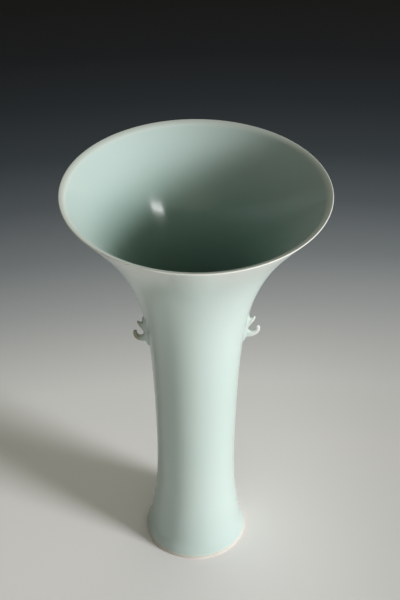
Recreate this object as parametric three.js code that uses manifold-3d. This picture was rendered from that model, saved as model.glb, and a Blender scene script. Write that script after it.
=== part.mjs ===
import * as THREE from 'three';
import { mergeVertices } from 'three/addons/utils/BufferGeometryUtils.js';
import Module from 'manifold-3d';

// A tall celadon porcelain vase: a waisted column on a spreading foot, opening into a wide trumpet
// mouth, with a small scrolled lug on each side of the neck. It is thrown in three sections that are
// luted together with stepped laps, closed by a slab base, and stands on an unglazed foot rim.
// Millimetres, +Z up, origin at the centre of the foot's underside, lugs on the X axis.

const GAP = 0.3; // slip line between luted faces
const ROUND = 48; // flats around every turned piece

// The glazed outside from the foot rim up to the lip, as radius and height.
const OUTLINE = [
  [54.4, 3.3], [52.9, 7.6], [50.5, 13], [48.6, 20], [47, 30], [44.9, 46], [42.8, 68],
  [41.45, 95],
  [41.4, 145], [43, 205],
  [45.7, 255],
  [51.2, 301], [59.9, 338], [72.2, 369], [87.2, 396], [105.6, 422], [126.52, 448.45],
];
const LOWER_JOINT = 7; // outline point where the column meets the foot section
const UPPER_JOINT = 10; // outline point where the trumpet meets the column

const WALL_FOOT = 5; // wall thickness near the foot
const WALL_NECK = 4.4; // and at the neck
const LIP = 1.9; // half the wall's thickness at the lip
const LIP_EDGE = 0.6; // radius of the tight rounding at the lip's outer edge
const LIP_TURN = THREE.MathUtils.degToRad(140); // how far it turns over from the wall's outside
const LIP_BEVEL = 5.5; // how far down the inside the lip's long bevel reaches
const LIP_STEPS = 4; // flats on the rounding, and on the bevel
const LAP = 4; // height of the tongue in a stepped lap
const TONGUE = 0.5; // the tongue's share of the wall

const RIM_HEIGHT = 3; // unglazed foot rim
const RIM_OUTER = 54.7;
const RIM_TOE = 53.8;
const RIM_INNER = 46.6;
const SLAB_RADIUS = 45.5;
const SLAB_BOTTOM = 8;
const SLAB_TOP = 14;
const SHOULDER_RADIUS = 41; // ledge over the slab's edge
const SHOULDER_HEIGHT = 17;

const LUG_HEIGHT = 281.5; // height of the lug's middle on the neck
const LUG_WALL = 48.5; // neck radius there
const LUG_LEAN = THREE.MathUtils.degToRad(6.8); // slope of the neck there
const ROOT_PROUD = 3.8;
const ROOT_HALF_WIDTH = 4.8;
const ROOT_HALF_LENGTH = 18.5;
const ROOT_CENTRE = 2;
const ROOT_DEPTH = 6;
const COIL_DEPTH = 4.4; // a coil's thickness across the lug
const COIL_BEVEL = 1.2;
const COIL_EDGE = 0.4;

const LEFT_REACH = 0.88; // the left lug stands out a little less than the right

// The coils' outlines in the lug's own frame, out from the wall and up it: from the root along the
// underside, round the tip and back along the upper side.
const ROOT_FACE = ROOT_PROUD + GAP;
const HOOK = [
  [ROOT_FACE, -10.8], [7.4, -9.6], [11.9, -7.3], [15.3, -3.5], [16.2, 1], [14.9, 4.4],
  [12.8, 5.2], [11.3, 4], [11.4, 1.2], [10.3, -0.9], [8.3, -2.2], [6, -2.2],
  [ROOT_FACE, -1.4],
];
const HORN = [
  [ROOT_FACE, 3.4], [5.9, 6.2], [7.8, 10], [9.3, 13.6], [9.3, 15.6], [8.1, 16.3], [6.6, 15.3],
  [5.4, 14.3], [ROOT_FACE, 14.1],
];

const wasm = await Module();
wasm.setup();

const glaze = { color: 0xcfe0da, roughness: 0.16, metalness: 0 };
const bareClay = { color: 0xd9c3ae, roughness: 0.85, metalness: 0 };

// ---------------------------------------------------------------- the wall

const side = new THREE.SplineCurve(OUTLINE.map(([radius, height]) => new THREE.Vector2(radius, height)));
const lastPoint = OUTLINE.length - 1;

function wallThickness(height) {
  const [neck, top] = [OUTLINE[UPPER_JOINT][1], OUTLINE[lastPoint][1]];
  if (height < neck) {
    return THREE.MathUtils.mapLinear(height, 0, neck, WALL_FOOT, WALL_NECK);
  }
  return THREE.MathUtils.mapLinear(height, neck, top, WALL_NECK, 2 * LIP);
}

// Outward normal of the outline at t.
function outward(t) {
  const along = side.getTangent(t);
  return new THREE.Vector2(along.y, -along.x);
}

// Points of the outside between two outline points, with one more halfway along each span.
function outside(first, last) {
  const points = [];
  for (let half = 2 * first; half <= 2 * last; half++) {
    points.push(side.getPoint(half / (2 * lastPoint)));
  }
  return points;
}

// The same stretch of the inside, one wall thickness in, from the top down and between two heights.
function inside(first, last, bottom, top) {
  const points = [];
  for (let half = 2 * last; half >= 2 * first; half--) {
    const t = half / (2 * lastPoint);
    const outer = side.getPoint(t);
    const inner = outer.clone().addScaledVector(outward(t), -wallThickness(outer.y));
    if (inner.y > bottom && inner.y < top) {
      points.push(inner);
    }
  }
  return points;
}

// The lip: a tight rounding over the outer edge of the wall, then a long bevel down to the inside.
function lip() {
  const normal = outward(1);
  const along = side.getTangent(1);
  const middle = side.getPoint(1).addScaledVector(normal, -LIP);
  const round = new THREE.EllipseCurve(LIP - LIP_EDGE, 0, LIP_EDGE, LIP_EDGE, 0, LIP_TURN);
  const edge = round.getPoints(LIP_STEPS);
  const start = edge[LIP_STEPS];
  const fall = (start.x + LIP) * Math.tan(LIP_TURN - Math.PI / 2);
  const corner = new THREE.Vector2(-LIP, start.y - fall);
  const end = new THREE.Vector2(-LIP, -LIP_BEVEL);
  const bevel = new THREE.QuadraticBezierCurve(start, corner, end).getPoints(LIP_STEPS);
  return [...edge.slice(1), ...bevel.slice(1)].map(
    ({ x, y }) => middle.clone().addScaledVector(normal, x).addScaledVector(along, y),
  );
}

// Radii and height of the stepped lap at an outline point.
function lap(index) {
  const [outer, height] = OUTLINE[index];
  const inner = outer - wallThickness(height);
  return { inner, step: inner + TONGUE * (outer - inner), height };
}

// Top of the section below a lap: ledge, then tongue.
function tongue({ inner, step, height }) {
  return [[step, height], [step, height + LAP], [inner, height + LAP]];
}

// Bottom of the section above a lap: rebate that the tongue fills.
function rebate({ inner, step, height }) {
  const [face, ledge, roof] = [step + GAP, height + GAP, height + LAP + GAP];
  return [[inner, roof], [face, roof], [face, ledge]];
}

function lathe(...runs) {
  const points = runs.flat().map((point) => (point.isVector2 ? point : new THREE.Vector2(...point)));
  points.push(points[0].clone());
  const geometry = new THREE.LatheGeometry(points, ROUND);
  geometry.rotateX(Math.PI / 2);
  return geometry;
}

function trumpet() {
  const joint = lap(UPPER_JOINT);
  const outer = outside(UPPER_JOINT, lastPoint);
  outer[0].y += GAP;
  const insideTop = OUTLINE[lastPoint][1] - LIP_BEVEL;
  const inner = inside(UPPER_JOINT, lastPoint, joint.height + 2 * LAP, insideTop);
  return lathe(outer, lip(), inner, rebate(joint));
}

function column() {
  const [below, above] = [lap(LOWER_JOINT), lap(UPPER_JOINT)];
  const outer = outside(LOWER_JOINT, UPPER_JOINT);
  outer[0].y += GAP;
  const inner = inside(LOWER_JOINT, UPPER_JOINT, below.height + 2 * LAP, above.height - LAP);
  return lathe(outer, tongue(above), inner, rebate(below));
}

function foot() {
  const joint = lap(LOWER_JOINT);
  const inner = inside(0, LOWER_JOINT, SHOULDER_HEIGHT + LAP, joint.height - LAP);
  const pocket = SLAB_RADIUS + GAP;
  const seat = [
    [SHOULDER_RADIUS + 1, SHOULDER_HEIGHT + 3], [SHOULDER_RADIUS, SHOULDER_HEIGHT],
    [SHOULDER_RADIUS, SLAB_TOP + GAP], [pocket, SLAB_TOP + GAP], [pocket, SLAB_BOTTOM],
    [RIM_INNER, SLAB_BOTTOM - 1], [RIM_INNER, RIM_HEIGHT + GAP],
  ];
  return lathe(outside(0, LOWER_JOINT), tongue(joint), inner, seat);
}

function slab() {
  const points = [[0, SLAB_BOTTOM], [SLAB_RADIUS, SLAB_BOTTOM], [SLAB_RADIUS, SLAB_TOP], [0, SLAB_TOP]];
  const profile = points.map(([radius, height]) => new THREE.Vector2(radius, height));
  return new THREE.LatheGeometry(profile, ROUND).rotateX(Math.PI / 2);
}

function footRim() {
  return lathe([
    [RIM_INNER + 0.6, 0], [RIM_TOE, 0], [RIM_OUTER, 1.4], [RIM_OUTER, RIM_HEIGHT],
    [RIM_INNER, RIM_HEIGHT], [RIM_INNER, 0.6],
  ]);
}

// ---------------------------------------------------------------- the lugs

// A coil: its outline with rounded edges, standing straight out from the wall.
function coil([start, ...others]) {
  const outline = new THREE.Shape().moveTo(...start);
  outline.splineThru(others.map((point) => new THREE.Vector2(...point)));
  const geometry = new THREE.ExtrudeGeometry(outline, {
    curveSegments: 2,
    depth: COIL_DEPTH - 2 * COIL_BEVEL,
    bevelThickness: COIL_BEVEL,
    bevelSize: COIL_EDGE,
    bevelOffset: -COIL_EDGE,
    bevelSegments: 2,
  });
  geometry.translate(0, 0, COIL_BEVEL - COIL_DEPTH / 2);
  return geometry.rotateX(Math.PI / 2);
}

function solid(geometry) {
  const bare = geometry.clone();
  bare.deleteAttribute('normal');
  bare.deleteAttribute('uv');
  const merged = mergeVertices(bare, 1e-4);
  const mesh = { numProp: 3, vertProperties: merged.attributes.position.array };
  mesh.triVerts = new Uint32Array(merged.index.array);
  return new wasm.Manifold(new wasm.Mesh(mesh));
}

function geometryOf(manifold) {
  const mesh = manifold.getMesh();
  const geometry = new THREE.BufferGeometry();
  geometry.setAttribute('position', new THREE.BufferAttribute(mesh.vertProperties, 3));
  geometry.setIndex(new THREE.BufferAttribute(mesh.triVerts, 1));
  geometry.computeVertexNormals();
  return geometry;
}

// The lug's frame: on the neck's wall, X straight out of the wall, Z up along it.
const lugPlace = new THREE.Matrix4().makeRotationY(LUG_LEAN);
lugPlace.setPosition(LUG_WALL, 0, LUG_HEIGHT);

// The leaf-shaped root, its back trimmed to the neck's surface.
function lugRoot() {
  const leaf = new THREE.Shape();
  leaf.absellipse(0, 0, ROOT_HALF_LENGTH, ROOT_HALF_WIDTH, 0, 2 * Math.PI);
  const geometry = new THREE.ExtrudeGeometry(leaf, {
    depth: ROOT_DEPTH - COIL_BEVEL,
    curveSegments: 12,
    bevelThickness: COIL_BEVEL,
    bevelSize: COIL_BEVEL,
    bevelOffset: -COIL_BEVEL,
    bevelSegments: 2,
  });
  geometry.translate(-ROOT_CENTRE, 0, ROOT_PROUD - ROOT_DEPTH);
  geometry.rotateY(Math.PI / 2);
  const neckCore = outside(UPPER_JOINT, UPPER_JOINT + 2).map(({ x, y }) => [x + GAP, y]);
  const neck = lathe([[0, neckCore[0][1]]], neckCore, [[0, neckCore.at(-1)[1]]]);
  neck.applyMatrix4(lugPlace.clone().invert());
  return geometryOf(solid(geometry).subtract(solid(neck)));
}

// ---------------------------------------------------------------- assembly

function piece(name, geometry, finish) {
  const mesh = new THREE.Mesh(geometry, new THREE.MeshStandardMaterial(finish));
  mesh.name = name;
  return mesh;
}

// An outline drawn in towards the root, or out from it.
function reaching(outline, reach) {
  return outline.map(([out, up]) => [ROOT_FACE + reach * (out - ROOT_FACE), up]);
}

function lug(prefix, reach) {
  const leaning = new THREE.Group();
  leaning.applyMatrix4(lugPlace);
  leaning.add(piece(`${prefix}_lug_root`, lugRoot(), glaze));
  leaning.add(piece(`${prefix}_lug_hook`, coil(reaching(HOOK, reach)), glaze));
  leaning.add(piece(`${prefix}_lug_horn`, coil(reaching(HORN, reach)), glaze));
  const turned = new THREE.Group();
  turned.add(leaning);
  return turned;
}

const vase = new THREE.Group();
vase.add(piece('trumpet_section', trumpet(), glaze));
vase.add(piece('column_section', column(), glaze));
vase.add(piece('foot_section', foot(), glaze));
vase.add(piece('base_slab', slab(), glaze));
vase.add(piece('foot_rim', footRim(), bareClay));
vase.add(lug('right', 1));
const leftLug = lug('left', LEFT_REACH);
leftLug.rotation.z = Math.PI;
vase.add(leftLug);

export default vase;
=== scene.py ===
import math

import bmesh
import bpy
import numpy as np
from mathutils import Matrix, Vector


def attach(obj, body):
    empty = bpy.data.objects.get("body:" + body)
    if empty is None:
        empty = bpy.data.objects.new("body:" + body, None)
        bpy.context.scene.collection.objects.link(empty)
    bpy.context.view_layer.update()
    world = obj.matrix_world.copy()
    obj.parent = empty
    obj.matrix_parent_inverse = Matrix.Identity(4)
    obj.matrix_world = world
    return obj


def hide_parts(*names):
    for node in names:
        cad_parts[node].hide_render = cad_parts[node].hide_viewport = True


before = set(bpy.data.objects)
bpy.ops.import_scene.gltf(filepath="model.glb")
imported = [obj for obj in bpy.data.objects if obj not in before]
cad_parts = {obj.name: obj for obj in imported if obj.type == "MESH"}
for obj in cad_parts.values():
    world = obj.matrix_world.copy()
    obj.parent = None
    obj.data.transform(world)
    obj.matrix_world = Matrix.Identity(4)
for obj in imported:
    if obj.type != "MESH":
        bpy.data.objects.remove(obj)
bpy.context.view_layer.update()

MM = 0.001

# ---------------------------------------------------------------- sizes, in millimetres

# The glazed outside, as radius and height: the CAD outline's points, the last drawn in by 0.05 mm.
OUTLINE = [
    (54.4, 3.3), (52.9, 7.6), (50.5, 13), (48.6, 20), (47, 30), (44.9, 46), (42.8, 68),
    (41.45, 95), (41.4, 145), (43, 205), (45.7, 255), (51.2, 301), (59.9, 338),
    (72.2, 369), (87.2, 396), (105.6, 422), (126.48, 448.4),
]
LOWER_JOINT = 95  # height where the foot section meets the column
UPPER_JOINT = 255  # height where the column meets the trumpet
WALL_FOOT = 5  # wall thickness at the foot
WALL_NECK = 4.4  # and where the trumpet begins
LIP = 1.9  # half the wall's thickness at the lip
LIP_EDGE = 0.6  # radius of the tight rounding at the lip's outer edge
LIP_TURN = 140  # how far it turns over from the wall's outside, in degrees
LIP_BEVEL = 5.5  # how far down the inside the lip's long bevel reaches
RIM_OUTER = 54.7  # the bare foot rim
RIM_INNER = 46.6
RIM_TOP = 3.2
RIM_BEVEL = 0.2
RIM_STRAIGHT = 2  # height where the rim's upright outer face begins
TOE = (53.8, 1.2)  # centre of the rounding under the rim's outer edge
TOE_ROUND = 1.2
HEEL_ROUND = 1  # radius under the rim's inner edge
GLAZE_LIFT = 0.02  # how far above the outline's lowest point the glaze ends
GLAZE_EDGE = 0.12  # width of the small bevel there
GLAZE_EDGE_TOP = 0.15  # where it ends, above that lowest point
SLAB_RADIUS = 45.5
SLAB_BOTTOM = 8
SLAB_TOP = 14
SLAB_BEVEL = 0.5
SLAB_COVER = 0.3  # from the slab's top to the foot section's inside floor
SEAT_GAP = 0.2  # round the slab's edge
SEAT_FLARE = 1  # how far below the slab the seat opens out to the rim
WELL_ROUND = 16  # rounding between that floor and the inside wall
WELL_TOP = 34  # where the inside wall begins
TURNS = 192  # facets round each turned piece
FLARE_STEP = 2.5  # height of one facet up the trumpet and the upper foot
COLUMN_STEP = 4
WELL_STEP = 3
LOW_STEP = 0.7  # finer facets close to the floor,
LOW_TOP = 24  # which end at this height


# ---------------------------------------------------------------- the wall's curve

def natural_spline(xs, ys):
    """A smooth curve through the points, as a function that gives value and slope at x."""
    xs, ys = np.array(xs, float), np.array(ys, float)
    gaps = np.diff(xs)
    steps = np.diff(ys) / gaps
    count = len(xs)
    system = np.eye(count)
    target = np.zeros(count)
    for i in range(1, count - 1):
        system[i, i - 1:i + 2] = gaps[i - 1], 2 * (gaps[i - 1] + gaps[i]), gaps[i]
        target[i] = 6 * (steps[i] - steps[i - 1])
    bends = np.linalg.solve(system, target)

    def at(x):
        i = int(np.clip(np.searchsorted(xs, x) - 1, 0, count - 2))
        gap, t = gaps[i], x - xs[i]
        jerk = (bends[i + 1] - bends[i]) / gap
        first = steps[i] - gap * (2 * bends[i] + bends[i + 1]) / 6
        value = ys[i] + t * (first + t * (bends[i] / 2 + t * jerk / 6))
        slope = first + t * (bends[i] + t * jerk / 2)
        return value, slope

    return at


side = natural_spline([height for _, height in OUTLINE], [radius for radius, _ in OUTLINE])
GLAZE_BOTTOM = OUTLINE[0][1]
LIP_START = OUTLINE[-1][1]


def wall_thickness(height):
    return float(np.interp(height, [0, UPPER_JOINT, LIP_START], [WALL_FOOT, WALL_NECK, 2 * LIP]))


def outer_point(height):
    return side(height)[0], height


def inner_point(height):
    """The point of the inside that faces the outside at this height."""
    radius, slope = side(height)
    across = wall_thickness(height) / math.hypot(1, slope)
    return radius - across, height + slope * across


def heights(low, high, step):
    return np.linspace(low, high, max(2, round((high - low) / step)) + 1)


def arc(centre, radius, start, end, steps):
    """Points round a circle from one angle to another, in degrees."""
    angles = np.radians(np.linspace(start, end, steps + 1))
    return [(centre[0] + radius * math.cos(a), centre[1] + radius * math.sin(a)) for a in angles]


# ---------------------------------------------------------------- mesh helpers

def finish_mesh(name, mesh, material, sharp=40):
    mesh.shade_smooth()
    mesh.set_sharp_from_angle(angle=math.radians(sharp))
    mesh.materials.append(material)
    piece = bpy.data.objects.new(name, mesh)
    bpy.context.scene.collection.objects.link(piece)
    return piece


def turned(name, profile, material):
    """A closed ring-shaped solid turned round Z. Profile points on the axis close it there."""
    work = bmesh.new()
    rings = []
    for radius, height in profile:
        if radius == 0:
            rings.append([work.verts.new((0, 0, height * MM))])
            continue
        angles = [2 * math.pi * k / TURNS for k in range(TURNS)]
        ring = [(radius * math.cos(a), radius * math.sin(a), height) for a in angles]
        rings.append([work.verts.new(Vector(point) * MM) for point in ring])
    open_ended = len(rings[0]) == 1
    pairs = zip(rings, rings[1:]) if open_ended else zip(rings, rings[1:] + rings[:1])
    for below, above in pairs:
        for k in range(TURNS):
            n = (k + 1) % TURNS
            low = [below[k % len(below)], below[n % len(below)]]
            high = [above[n % len(above)], above[k % len(above)]]
            work.faces.new(dict.fromkeys(low + high))
    bmesh.ops.recalc_face_normals(work, faces=work.faces)
    mesh = bpy.data.meshes.new(name)
    work.to_mesh(mesh)
    work.free()
    return finish_mesh(name, mesh, material)


# ---------------------------------------------------------------- material helpers

class Shader:
    """A node tree with short ways to add and join nodes."""

    def __init__(self, name):
        self.material = bpy.data.materials.new(name)
        self.material.use_nodes = True
        self.tree = self.material.node_tree
        self.bsdf = self.tree.nodes["Principled BSDF"]

    def add(self, kind, inputs=None, **settings):
        node = self.tree.nodes.new(kind)
        for key, value in settings.items():
            setattr(node, key, value)
        for key, value in (inputs or {}).items():
            self.put(node.inputs[key], value)
        return node

    def put(self, socket, value):
        if isinstance(value, bpy.types.NodeSocket):
            self.tree.links.new(value, socket)
        else:
            socket.default_value = value

    def math(self, operation, a, b=0.0):
        return self.add("ShaderNodeMath", {0: a, 1: b}, operation=operation).outputs[0]

    def range(self, value, low, high, to_low=0.0, to_high=1.0):
        """Maps low..high to to_low..to_high with soft ends."""
        ends = {"From Min": low, "From Max": high, "To Min": to_low, "To Max": to_high}
        inputs = {"Value": value, **ends}
        node = self.add("ShaderNodeMapRange", inputs, interpolation_type="SMOOTHSTEP")
        return node.outputs["Result"]

    def mix(self, factor, a, b):
        """Colour a turning into b; sockets 6, 7 and 2 are the mix node's colour ones."""
        node = self.add("ShaderNodeMix", {"Factor": factor}, data_type="RGBA")
        self.put(node.inputs[6], a)
        self.put(node.inputs[7], b)
        return node.outputs[2]

    def noise(self, where, scale, detail=2.0, roughness=0.5):
        inputs = {"Vector": where, "Scale": scale, "Detail": detail, "Roughness": roughness}
        return self.add("ShaderNodeTexNoise", inputs).outputs["Fac"]

    def bump(self, height, distance):
        bump = self.add("ShaderNodeBump", {"Height": height, "Distance": distance})
        self.put(self.bsdf.inputs["Normal"], bump.outputs["Normal"])

    def place(self):
        """Object position, and its X, Y and Z."""
        where = self.add("ShaderNodeTexCoord").outputs["Object"]
        return where, *self.add("ShaderNodeSeparateXYZ", {0: where}).outputs


# Glaze and clay tones, as linear colours.
CELADON = (0.472, 0.560, 0.543, 1)
CELADON_POOLED = (0.385, 0.520, 0.470, 1)  # where the glaze clouds
CELADON_FLARE_LIT = (0.511, 0.607, 0.590, 1)  # the outside of the trumpet, lighter as painted light where it faces down towards the floor
# The foot: darker as painted shade on the upward-facing foot, a little bluer where the glaze pools.
CELADON_FOOT_POOL_AND_SHADE = (0.445, 0.535, 0.522, 1)
CELADON_THIN = (0.605, 0.655, 0.632, 1)  # the outside near the lip
CELADON_MOUTH = (0.425, 0.520, 0.507, 1)  # the inside near the lip
# Down inside the mouth, darker and greener: painted shade in the hollow.
CELADON_INSIDE_SHADED = (0.320, 0.475, 0.422, 1)
LIP_OUTSIDE = (0.740, 0.750, 0.725, 1)
LIP_INSIDE = (0.520, 0.570, 0.543, 1)
# The lugs' coils: a pale lit tone as painted light on the right lug, a dark olive shaded tone as
# painted shade on the left.
LUG_LIT = (0.60, 0.62, 0.60, 1)
LUG_LIT_POOLED_AND_SHADE = (0.330, 0.380, 0.350, 1)
LUG_SHADED = (0.285, 0.290, 0.215, 1)
LUG_SHADED_POOLED_AND_SHADE = (0.115, 0.120, 0.085, 1)
CLAY_BUFF = (0.58, 0.53, 0.495, 1)
CLAY_PALE = (0.63, 0.585, 0.555, 1)
CLAY_FLUSH = (0.62, 0.54, 0.47, 1)
CLAY_SPECK = (0.40, 0.28, 0.20, 1)

# Where one tone gives way to the next, from its first trace to its full strength, in metres.
FOOT_HEIGHTS = (0.070, 0.020)
FLARE_HEIGHTS = (0.190, 0.335)
THIN_HEIGHTS = (0.390, 0.450)
INSIDE_SHADE_HEIGHTS = (0.448, 0.345)
LIP_HEIGHTS = (0.4445, 0.4490)
GLAZE_EDGE_HEIGHTS = (0.0062, 0.0036)
FLUSH_HEIGHTS = (0.0016, 0.0031)
FACING_AXIS = (0.004, -0.012)  # distance from the axis times how far the surface faces away from it
COIL_DISTANCE = (0.0515, 0.0585)  # out from the middle of the vase, for the coils' tone: painted light on the right lug, painted shade on the left
CURL_DISTANCE = (0.0505, 0.0550)  # and for the darker curls, pooled glaze with painted shade

# Values of a noise, or of the mesh's pointiness, over which a pattern sets in.
CLOUD_BAND = (0.35, 0.75)
GLOSS_BAND = (0.3, 0.7)
CLAY_BAND = (0.35, 0.7)
SPECK_BAND = (0.62, 0.75)
HOLLOW_BAND = (0.50, 0.44)

GLAZE_IOR = 1.5
GLAZE_SPECULAR = 0.3
RIPPLE_SCALE = 260.0  # the fine ripple of a glazed surface
RIPPLE_DEPTH = 0.00002
GRIT_DEPTH = 0.00015


def celadon_glaze(name):
    """Pale celadon: clouded a little, thin and creamy on the edges, darker and greener down the mouth
    as painted shade, with painted light on the trumpet's outside and painted shade on the foot.
    """
    s = Shader(name)
    where, _, _, z = s.place()
    clouds = s.noise(where, scale=14.0, detail=3.0, roughness=0.55)
    colour = s.mix(s.range(clouds, *CLOUD_BAND, to_high=0.18), CELADON, CELADON_POOLED)
    flat = {0: where, 1: (1, 1, 0)}
    level = s.add("ShaderNodeVectorMath", flat, operation="MULTIPLY").outputs[0]
    normal = s.add("ShaderNodeTexCoord").outputs["Normal"]
    outward = s.add("ShaderNodeVectorMath", {0: level, 1: normal}, operation="DOT_PRODUCT")
    inside = s.range(outward.outputs["Value"], *FACING_AXIS)
    # Painted shade on the foot, with the bluer tone of pooled glaze.
    colour = s.mix(s.range(z, *FOOT_HEIGHTS), colour, CELADON_FOOT_POOL_AND_SHADE)
    # Painted light on the trumpet's outside.
    colour = s.mix(s.range(z, *FLARE_HEIGHTS), colour, CELADON_FLARE_LIT)
    colour = s.mix(s.range(z, *THIN_HEIGHTS), colour, CELADON_THIN)
    # Painted shade: the inside darkens and greens towards the bottom of the mouth.
    within = s.mix(s.range(z, *INSIDE_SHADE_HEIGHTS), CELADON_MOUTH, CELADON_INSIDE_SHADED)
    colour = s.mix(inside, colour, within)
    colour = s.mix(s.range(z, *LIP_HEIGHTS), colour, s.mix(inside, LIP_OUTSIDE, LIP_INSIDE))
    colour = s.mix(s.range(z, *GLAZE_EDGE_HEIGHTS), colour, LIP_INSIDE)
    s.put(s.bsdf.inputs["Base Color"], colour)
    s.put(s.bsdf.inputs["Roughness"], s.range(clouds, *GLOSS_BAND, to_low=0.13, to_high=0.19))
    s.bsdf.inputs["IOR"].default_value = GLAZE_IOR
    s.bsdf.inputs["Specular IOR Level"].default_value = GLAZE_SPECULAR
    s.bump(s.noise(where, RIPPLE_SCALE), RIPPLE_DEPTH)
    return s.material


def lug_glaze(name, near, far, pooled_and_shade):
    """Celadon on a lug: like the neck by the root, on the coils the far tone, painted light on the
    right lug and painted shade on the left, and darker in the curls with pooled glaze and painted
    shade.
    """
    s = Shader(name)
    where, x, _, _ = s.place()
    out = s.math("ABSOLUTE", x)
    colour = s.mix(s.range(out, *COIL_DISTANCE), near, far)
    pointiness = s.add("ShaderNodeNewGeometry").outputs["Pointiness"]
    hollow = s.range(pointiness, *HOLLOW_BAND, to_high=0.8)
    # Darker in the concave curls: pooled glaze and painted shade.
    curl = s.math("MULTIPLY", hollow, s.range(out, *CURL_DISTANCE))
    colour = s.mix(curl, colour, pooled_and_shade)
    clouds = s.noise(where, scale=60.0)
    colour = s.mix(s.range(clouds, *CLOUD_BAND, to_high=0.15), colour, pooled_and_shade)
    s.put(s.bsdf.inputs["Base Color"], colour)
    s.put(s.bsdf.inputs["Roughness"], s.range(clouds, *GLOSS_BAND, to_low=0.15, to_high=0.22))
    s.bsdf.inputs["IOR"].default_value = GLAZE_IOR
    s.bump(s.noise(where, RIPPLE_SCALE), RIPPLE_DEPTH)
    return s.material


def bare_clay(name):
    """Unglazed porcelain, gritty and pale, a little flushed where it meets the glaze."""
    s = Shader(name)
    where, _, _, z = s.place()
    cloud = s.range(s.noise(where, scale=40.0, detail=3.0), *CLAY_BAND)
    colour = s.mix(cloud, CLAY_BUFF, CLAY_PALE)
    uneven = s.range(cloud, 1.0, 0.0, to_low=0.15, to_high=0.7)
    flush = s.math("MULTIPLY", s.range(z, *FLUSH_HEIGHTS), uneven)
    colour = s.mix(flush, colour, CLAY_FLUSH)
    specks = s.range(s.noise(where, scale=1400.0, detail=1.0), *SPECK_BAND, to_high=0.25)
    colour = s.mix(specks, colour, CLAY_SPECK)
    s.put(s.bsdf.inputs["Base Color"], colour)
    s.put(s.bsdf.inputs["Roughness"], s.range(cloud, 0.0, 1.0, to_low=0.75, to_high=0.88))
    s.bump(s.noise(where, scale=900.0, detail=4.0, roughness=0.6), GRIT_DEPTH)
    return s.material


GLAZE = celadon_glaze("celadon_glaze")
# Painted light on the right lug, painted shade on the left.
RIGHT_LUG_LIT_GLAZE = lug_glaze("celadon_right_lug_lit", CELADON, LUG_LIT, LUG_LIT_POOLED_AND_SHADE)
LEFT_LUG_SHADED_GLAZE = lug_glaze("celadon_left_lug_shaded", CELADON, LUG_SHADED, LUG_SHADED_POOLED_AND_SHADE)
CLAY = bare_clay("bare_clay")


# ---------------------------------------------------------------- the turned pieces

def lip(steps=8):
    """Over the lip: a tight rounding at its outer edge, then a long bevel down to the inside."""
    radius, slope = side(LIP_START)
    run = math.hypot(1, slope)
    normal, along = np.array([1, -slope]) / run, np.array([slope, 1]) / run
    middle = np.array([radius, LIP_START]) - LIP * normal
    edge = arc((LIP - LIP_EDGE, 0), LIP_EDGE, 0, LIP_TURN, steps)
    out, up = edge[-1]
    start, end = np.array([out, up]), np.array([-LIP, -LIP_BEVEL])
    corner = np.array([-LIP, up - (out + LIP) * math.tan(math.radians(LIP_TURN - 90))])
    bevel = [
        (1 - t) ** 2 * start + 2 * t * (1 - t) * corner + t ** 2 * end
        for t in np.linspace(0, 1, steps + 1)[1:]
    ]
    return [tuple(middle + out * normal + up * along) for out, up in edge[1:] + bevel]


def trumpet_section():
    outer = [outer_point(h) for h in heights(UPPER_JOINT, LIP_START, FLARE_STEP)]
    inside = heights(UPPER_JOINT, LIP_START - LIP_BEVEL, FLARE_STEP)
    inner = [inner_point(h) for h in inside[::-1]]
    inner[-1] = (inner[-1][0], UPPER_JOINT)
    return turned("trumpet_glazed", outer + lip() + inner, GLAZE)


def column_section():
    levels = heights(LOWER_JOINT, UPPER_JOINT, COLUMN_STEP)
    outer = [outer_point(h) for h in levels]
    inner = [inner_point(h) for h in levels[::-1]]
    inner[0] = (inner[0][0], UPPER_JOINT)
    inner[-1] = (inner[-1][0], LOWER_JOINT)
    return turned("column_glazed", outer + inner, GLAZE)


def foot_section():
    glaze_end = GLAZE_BOTTOM + GLAZE_LIFT
    bottom = [(RIM_INNER, glaze_end), (OUTLINE[0][0] - GLAZE_EDGE, glaze_end)]
    low = [outer_point(h) for h in heights(GLAZE_BOTTOM + GLAZE_EDGE_TOP, LOW_TOP, LOW_STEP)]
    high = [outer_point(h) for h in heights(LOW_TOP, LOWER_JOINT, FLARE_STEP)[1:]]
    inner = [inner_point(h) for h in heights(WELL_TOP, LOWER_JOINT, WELL_STEP)[::-1]]
    inner[0] = (inner[0][0], LOWER_JOINT)
    well_floor = SLAB_TOP + SLAB_COVER
    bend = arc((inner[-1][0] - WELL_ROUND, well_floor + WELL_ROUND), WELL_ROUND, 0, -90, 10)
    seat_radius = SLAB_RADIUS + SEAT_GAP
    seat = [(seat_radius, well_floor), (seat_radius, SLAB_BOTTOM)]
    seat.append((RIM_INNER, SLAB_BOTTOM - SEAT_FLARE))
    return turned("foot_glazed", bottom + low + high + inner + bend + seat, GLAZE)


def base_slab():
    shoulder = SLAB_RADIUS - SLAB_BEVEL
    top = [(0, SLAB_TOP), (shoulder, SLAB_TOP), (SLAB_RADIUS, SLAB_TOP - SLAB_BEVEL)]
    bottom = [(SLAB_RADIUS, SLAB_BOTTOM + SLAB_BEVEL), (shoulder, SLAB_BOTTOM), (0, SLAB_BOTTOM)]
    return turned("base_glazed", top + bottom, GLAZE)


def foot_rim():
    toe = arc(TOE, TOE_ROUND, -90, -20, 6)
    outside = [(RIM_OUTER, RIM_STRAIGHT), (RIM_OUTER, RIM_TOP - RIM_BEVEL)]
    top = [(RIM_OUTER - RIM_BEVEL, RIM_TOP), (RIM_INNER, RIM_TOP)]
    heel = arc((RIM_INNER + HEEL_ROUND, HEEL_ROUND), HEEL_ROUND, 180, 270, 6)
    return turned("foot_rim_bare", toe + outside + top + heel, CLAY)


# ---------------------------------------------------------------- the lugs

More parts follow.
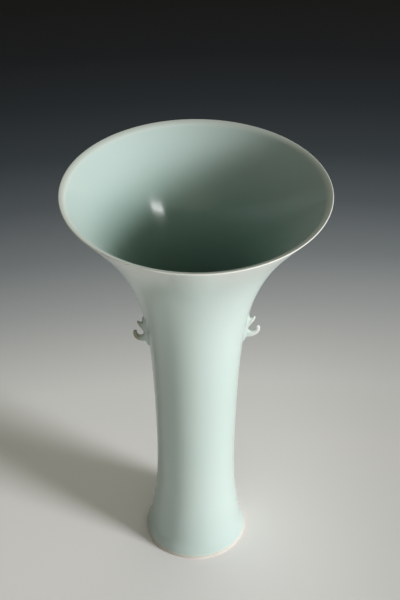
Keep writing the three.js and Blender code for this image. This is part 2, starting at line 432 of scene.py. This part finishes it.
LUG_HEIGHT = 281.5  # height of the lugs' middle on the neck
ROOT_SPAN = (-16, 20)  # the root's lower and upper end, up the wall from the lug's middle
ROOT_PROUD = 4.0  # how far the root stands out from the wall
ROOT_HALF_WIDTH = 4.8
ROOT_BEAD = 2.2  # half the height of one bead of the root
ROOT_STEP = 0.6  # from bead to bead
ROOT_TIP = 0.25  # size of the root's ends, as a share of its middle
LEFT_REACH = 0.88  # the left lug stands out a little less than the right
SKIRT_PROUD = 1.0  # thin clay smeared onto the neck round the root
SKIRT_HALF_WIDTH = 9
SKIRT_HALF_HEIGHT = 5.0
SKIRT_SUNK = 3
LUG_VOXEL = 0.3  # fineness of the mesh that runs the beads together
SOFTEN = 0.5  # share of each smoothing of that mesh
SOFTEN_TIMES = 6
COIL_HALF_DEPTH = 2.2
BEAD_STEP = 0.45  # from bead to bead in a coil
THINNEST = 0.5  # beads no larger than this are left out of a coil

# Side views of the two coils in the lug's own frame: out from the wall, up the wall.
HOOK = [
    (0, -11), (4, -10.6), (7.4, -9.6), (11.9, -7.4), (15.3, -3.6), (16.2, 1), (15, 4.6),
    (12.9, 5.4), (11.2, 4.1), (11.3, 1.3), (10.2, -0.8), (8.2, -2), (5.9, -1.9), (4, -0.4),
    (0, 1),
]
HORN = [
    (0, 1), (4, 2.8), (5.9, 5.9), (7.9, 9.8), (9.2, 13.4), (9.2, 15.9), (7.9, 16.6),
    (6.4, 15.3), (5, 14.3), (3.2, 14.8), (0, 17),
]


def lug_matrix():
    """The lug's frame on the neck: X straight out of the wall, Z up along it."""
    radius, slope = side(LUG_HEIGHT)
    place = Matrix.Translation((radius, 0, LUG_HEIGHT))
    return place @ Matrix.Rotation(math.atan(slope), 4, "Y")


def unit_ball():
    work = bmesh.new()
    bmesh.ops.create_icosphere(work, subdivisions=2, radius=1)
    points = np.array([vert.co for vert in work.verts])
    faces = np.array([[vert.index for vert in face.verts] for face in work.faces])
    work.free()
    return points, faces


def beads_mesh(name, beads):
    """One mesh of many overlapping balls, each given as a centre and three radii."""
    points, faces = unit_ball()
    all_points = [points * radii + centre for centre, radii in beads]
    all_faces = [faces + k * len(points) for k in range(len(beads))]
    mesh = bpy.data.meshes.new(name)
    mesh.from_pydata(np.concatenate(all_points).tolist(), [], np.concatenate(all_faces).tolist())
    return mesh


def smooth_outline(points, steps=6):
    """A closed Catmull-Rom curve through the points, as a polygon."""
    points = np.array(points, float)
    before, after = np.roll(points, 1, 0), np.roll(points, -1, 0)
    beyond = np.roll(points, -2, 0)
    t = np.linspace(0, 1, steps, endpoint=False)[:, None, None]
    pull = 0.5 * ((after - before) * t + (2 * before - 5 * points + 4 * after - beyond) * t ** 2)
    swing = 0.5 * (3 * points - before - 3 * after + beyond) * t ** 3
    return np.transpose(points + pull + swing, (1, 0, 2)).reshape(-1, 2)


def depth_inside(polygon, spots):
    """How deep each spot lies inside the polygon; below zero outside it."""
    tiny = 1e-12  # keeps a level edge from dividing by zero
    ends = np.roll(polygon, -1, 0)
    edges = ends - polygon
    from_start = spots[:, None] - polygon[None]
    along = (from_start * edges).sum(2) / (edges ** 2).sum(1)
    nearest = from_start - np.clip(along, 0, 1)[..., None] * edges
    distance = np.sqrt((nearest ** 2).sum(2)).min(1)
    spans = (polygon[:, 1] > spots[:, 1:]) != (ends[:, 1] > spots[:, 1:])
    rise = spots[:, 1:] - polygon[:, 1]
    crossing = polygon[:, 0] + rise * edges[:, 0] / (edges[:, 1] + tiny)
    inside = (spans & (spots[:, :1] < crossing)).sum(1) % 2 == 1
    return np.where(inside, distance, -distance)


def coil(outline):
    """A plump solid of the outline: beads as big as the room around them inside it."""
    polygon = smooth_outline(outline)
    low, high = polygon.min(0), polygon.max(0)
    outs, ups = np.meshgrid(*(np.arange(a, b, BEAD_STEP) for a, b in zip(low, high)))
    spots = np.stack([outs.ravel(), ups.ravel()], 1)
    return [
        ((out, 0, up), (depth, min(depth, COIL_HALF_DEPTH), depth))
        for (out, up), depth in zip(spots, depth_inside(polygon, spots)) if depth > THINNEST
    ]


def leaf(to_lug):
    """The root: a low mound on the neck, widest in the middle and fine at both ends."""
    low, high = ROOT_SPAN
    middle, half = (low + high) / 2, (high - low) / 2
    beads = []
    for up in np.arange(low, high + 0.01, ROOT_STEP):
        share = math.sqrt(max(0.0, 1 - ((up - middle) / half) ** 2))
        size = ROOT_TIP + (1 - ROOT_TIP) * share
        height = LUG_HEIGHT + up
        on_wall = to_lug @ Vector((side(height)[0], 0, height))
        beads.append((on_wall, (ROOT_PROUD * size, ROOT_HALF_WIDTH * size, ROOT_BEAD * size)))
        depth = SKIRT_SUNK + SKIRT_PROUD * size
        skirt = (depth, SKIRT_HALF_WIDTH * size, SKIRT_HALF_HEIGHT * size)
        beads.append((on_wall - Vector((SKIRT_SUNK, 0, 0)), skirt))
    return beads


def lug(name, turn, reach, glaze):
    """Root, hook and horn run together by the slip and the glaze, on one side of the neck."""
    place = lug_matrix()
    hook, horn = ([(out * reach, up) for out, up in outline] for outline in (HOOK, HORN))
    rough = beads_mesh(name, leaf(place.inverted()) + coil(hook) + coil(horn))
    draft = bpy.data.objects.new(name + "_draft", rough)
    bpy.context.scene.collection.objects.link(draft)
    remesh = draft.modifiers.new("fuse", "REMESH")
    remesh.mode = "VOXEL"
    remesh.voxel_size = LUG_VOXEL
    soften = draft.modifiers.new("soften", "SMOOTH")
    soften.factor = SOFTEN
    soften.iterations = SOFTEN_TIMES
    shown = draft.evaluated_get(bpy.context.evaluated_depsgraph_get())
    mesh = bpy.data.meshes.new_from_object(shown)
    bpy.data.objects.remove(draft)
    mesh.transform(Matrix.Scale(MM, 4) @ Matrix.Rotation(turn, 4, "Z") @ place)
    return finish_mesh(name, mesh, glaze, 180)


# ---------------------------------------------------------------- the object

def install(piece, slot, *nodes):
    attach(piece, "root")
    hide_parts(*nodes)


install(trumpet_section(), "celadon_glaze", "trumpet_section")
install(column_section(), "celadon_glaze", "column_section")
install(foot_section(), "celadon_glaze", "foot_section")
install(base_slab(), "celadon_glaze", "base_slab")
install(foot_rim(), "bare_clay", "foot_rim")
LUGS = (("right", 0, 1, RIGHT_LUG_LIT_GLAZE), ("left", math.pi, LEFT_REACH, LEFT_LUG_SHADED_GLAZE))
for prefix, turn, reach, glaze in LUGS:
    nodes = [f"{prefix}_lug_{part}" for part in ("root", "hook", "horn")]
    install(lug(f"{prefix}_lug", turn, reach, glaze), "celadon_glaze", *nodes)


# ---------------------------------------------------------------- floor, light and camera

# The paper's tone by distance, in metres, from a point in front of the object: painted shade where
# the light falls off far away.
PAPER_CENTRE = (0.02, -1.0, 0.0)
PAPER_REACH = 3.0
PAPER = [
    (0.0, (0.92, 0.905, 0.915)), (1.13, (0.92, 0.905, 0.915)), (1.235, (0.86, 0.86, 0.87)),
    (1.313, (0.685, 0.690, 0.705)), (1.397, (0.485, 0.502, 0.53)), (1.51, (0.270, 0.294, 0.322)),
    (1.64, (0.133, 0.151, 0.174)), (1.775, (0.063, 0.075, 0.090)), (1.93, (0.036, 0.043, 0.050)),
    (2.1, (0.0235, 0.0248, 0.028)), (2.3, (0.0200, 0.0200, 0.0200)),
]
RIGHT_SHADE = 0.20  # how much darker painted shade makes the paper to the right of the object
RIGHT_SPAN = (0.04, 0.30)
BEHIND_SPAN = (0.45, 0.15)  # gone at the first distance behind the object, full at the second
PAPER_ROUGHNESS = 0.6
FLOOR = 30.0  # half the floor's side


def studio_paper(name):
    """Pale paper with painted shade for the light's falloff: darker with distance behind the object
    and to its right.
    """
    s = Shader(name)
    where, x, y, _ = s.place()
    from_centre = {0: where, 1: PAPER_CENTRE}
    offset = s.add("ShaderNodeVectorMath", from_centre, operation="SUBTRACT").outputs[0]
    away = s.add("ShaderNodeVectorMath", {0: offset}, operation="LENGTH").outputs["Value"]
    tones = s.add("ShaderNodeValToRGB", {"Fac": s.math("DIVIDE", away, PAPER_REACH)})
    stops = tones.color_ramp.elements
    while len(stops) < len(PAPER):
        stops.new(0.5)
    for stop, (distance, tone) in zip(stops, PAPER):
        stop.position = distance / PAPER_REACH
        stop.color = (*tone, 1)
    # Painted shade to the right of the object.
    right = s.range(x, *RIGHT_SPAN, to_high=RIGHT_SHADE)
    edge = s.math("MULTIPLY", right, s.range(y, *BEHIND_SPAN))
    faded = {0: tones.outputs["Color"], "Scale": s.math("SUBTRACT", 1.0, edge)}
    colour = s.add("ShaderNodeVectorMath", faded, operation="SCALE").outputs[0]
    s.put(s.bsdf.inputs["Base Color"], colour)
    s.bsdf.inputs["Roughness"].default_value = PAPER_ROUGHNESS
    s.bsdf.inputs["Specular IOR Level"].default_value = 0.0
    return s.material


def studio_floor():
    mesh = bpy.data.meshes.new("studio_floor")
    corners = [(x * FLOOR, y * FLOOR, 0) for x, y in ((-1, -1), (1, -1), (1, 1), (-1, 1))]
    mesh.from_pydata(corners, [], [(0, 1, 2, 3)])
    return finish_mesh("studio_floor", mesh, studio_paper("studio_paper"))


floor = studio_floor()

LUG_TURN = math.radians(3.8)  # how far the lugs are turned from the camera's left and right


def toward(azimuth, elevation):
    """Unit vector: azimuth from the camera's right towards its far side, both in degrees."""
    a, e = math.radians(azimuth) - LUG_TURN, math.radians(elevation)
    return Vector((math.cos(a) * math.cos(e), math.sin(a) * math.cos(e), math.sin(e)))


LAMP_AIM = (0, 0, 0.42)  # near the mouth
LAMP_DISTANCE = 7.0

# Soft light from the room: direction, how tightly it gathers there, and strength.
GLOWS = [
    (toward(-16, 3), 6.0, 1.12),
    (toward(-85, 2), 6.0, 1.47),
    (toward(180, -20), 8.0, 1.0),
    (toward(62, 11), 8.0, 1.40),
    (toward(110, 36), 8.0, 0.52),
]
GLOW_TINT = (1.0, 1.0, 0.835)
BASE_GLOW = 0.012


def softbox(name, azimuth, elevation, roll, wide, tall, watts):
    """A rectangular light that faces the vase; its width and height are in degrees."""
    light = bpy.data.lights.new(name, "AREA")
    light.shape = "RECTANGLE"
    light.size = 2 * LAMP_DISTANCE * math.tan(math.radians(wide / 2))
    light.size_y = 2 * LAMP_DISTANCE * math.tan(math.radians(tall / 2))
    light.energy = watts
    lamp = bpy.data.objects.new(name, light)
    direction = toward(azimuth, elevation)
    lamp.location = Vector(LAMP_AIM) + direction * LAMP_DISTANCE
    lamp.rotation_mode = "QUATERNION"
    spin = Matrix.Rotation(math.radians(roll), 3, "Z").to_quaternion()
    lamp.rotation_quaternion = direction.to_track_quat("Z", "Y") @ spin
    bpy.context.scene.collection.objects.link(lamp)
    return lamp


def studio_world():
    """A dim room with a few broad soft glows."""
    world = bpy.data.worlds.new("studio")
    world.use_nodes = True
    nodes, links = world.node_tree.nodes, world.node_tree.links

    def node(kind, operation, *values):
        made = nodes.new(kind)
        made.operation = operation
        for socket, value in zip(made.inputs, values):
            if isinstance(value, bpy.types.NodeSocket):
                links.new(value, socket)
            else:
                socket.default_value = value
        return made

    looking = nodes.new("ShaderNodeTexCoord").outputs["Generated"]
    total = BASE_GLOW
    for direction, tightness, strength in GLOWS:
        facing = node("ShaderNodeVectorMath", "DOT_PRODUCT", looking, direction).outputs["Value"]
        ahead = node("ShaderNodeMath", "MAXIMUM", facing, 0.0).outputs[0]
        gathered = node("ShaderNodeMath", "POWER", ahead, tightness).outputs[0]
        total = node("ShaderNodeMath", "MULTIPLY_ADD", gathered, strength, total).outputs[0]
    nodes["Background"].inputs["Color"].default_value = (*GLOW_TINT, 1)
    links.new(total, nodes["Background"].inputs["Strength"])
    return world


key = softbox("key", azimuth=-28.3, elevation=14, roll=-25, wide=15, tall=15, watts=560)
key.visible_glossy = False

# A narrow strip that gives the small highlight inside the mouth; the lip doesn't cut it off.
glint = softbox("glint", azimuth=-35.5, elevation=18.4, roll=0, wide=14, tall=2.3, watts=82)
glint.data.use_shadow = False
glint.data.cycles.use_multiple_importance_sampling = False
glint.visible_diffuse = False
bpy.context.scene.world = studio_world()

CAMERA_OUT = 1.032  # level distance from the vase's axis
CAMERA_UP = 1.148
CAMERA_PITCH = 38.73  # below the horizon, in degrees
CAMERA_YAW = 0.223  # to the right of the axis
CAMERA_ROLL = 0.181
CAMERA_LENS = 81  # in millimetres, as is the sensor's width
CAMERA_SENSOR = 36

camera = bpy.data.cameras.new("camera")
camera.sensor_width = CAMERA_SENSOR
camera.lens = CAMERA_LENS
eye = bpy.data.objects.new("camera", camera)
turn = -LUG_TURN
eye.location = (CAMERA_OUT * math.sin(turn), -CAMERA_OUT * math.cos(turn), CAMERA_UP)
level = Matrix.Rotation(turn - math.radians(CAMERA_YAW), 4, "Z")
pitch = Matrix.Rotation(math.radians(90 - CAMERA_PITCH), 4, "X")
roll = Matrix.Rotation(math.radians(CAMERA_ROLL), 4, "Z")
eye.rotation_mode = "QUATERNION"
eye.rotation_quaternion = (level @ pitch @ roll).to_quaternion()
bpy.context.scene.collection.objects.link(eye)
bpy.context.scene.camera = eye
bpy.context.scene.view_settings.view_transform = "Standard"
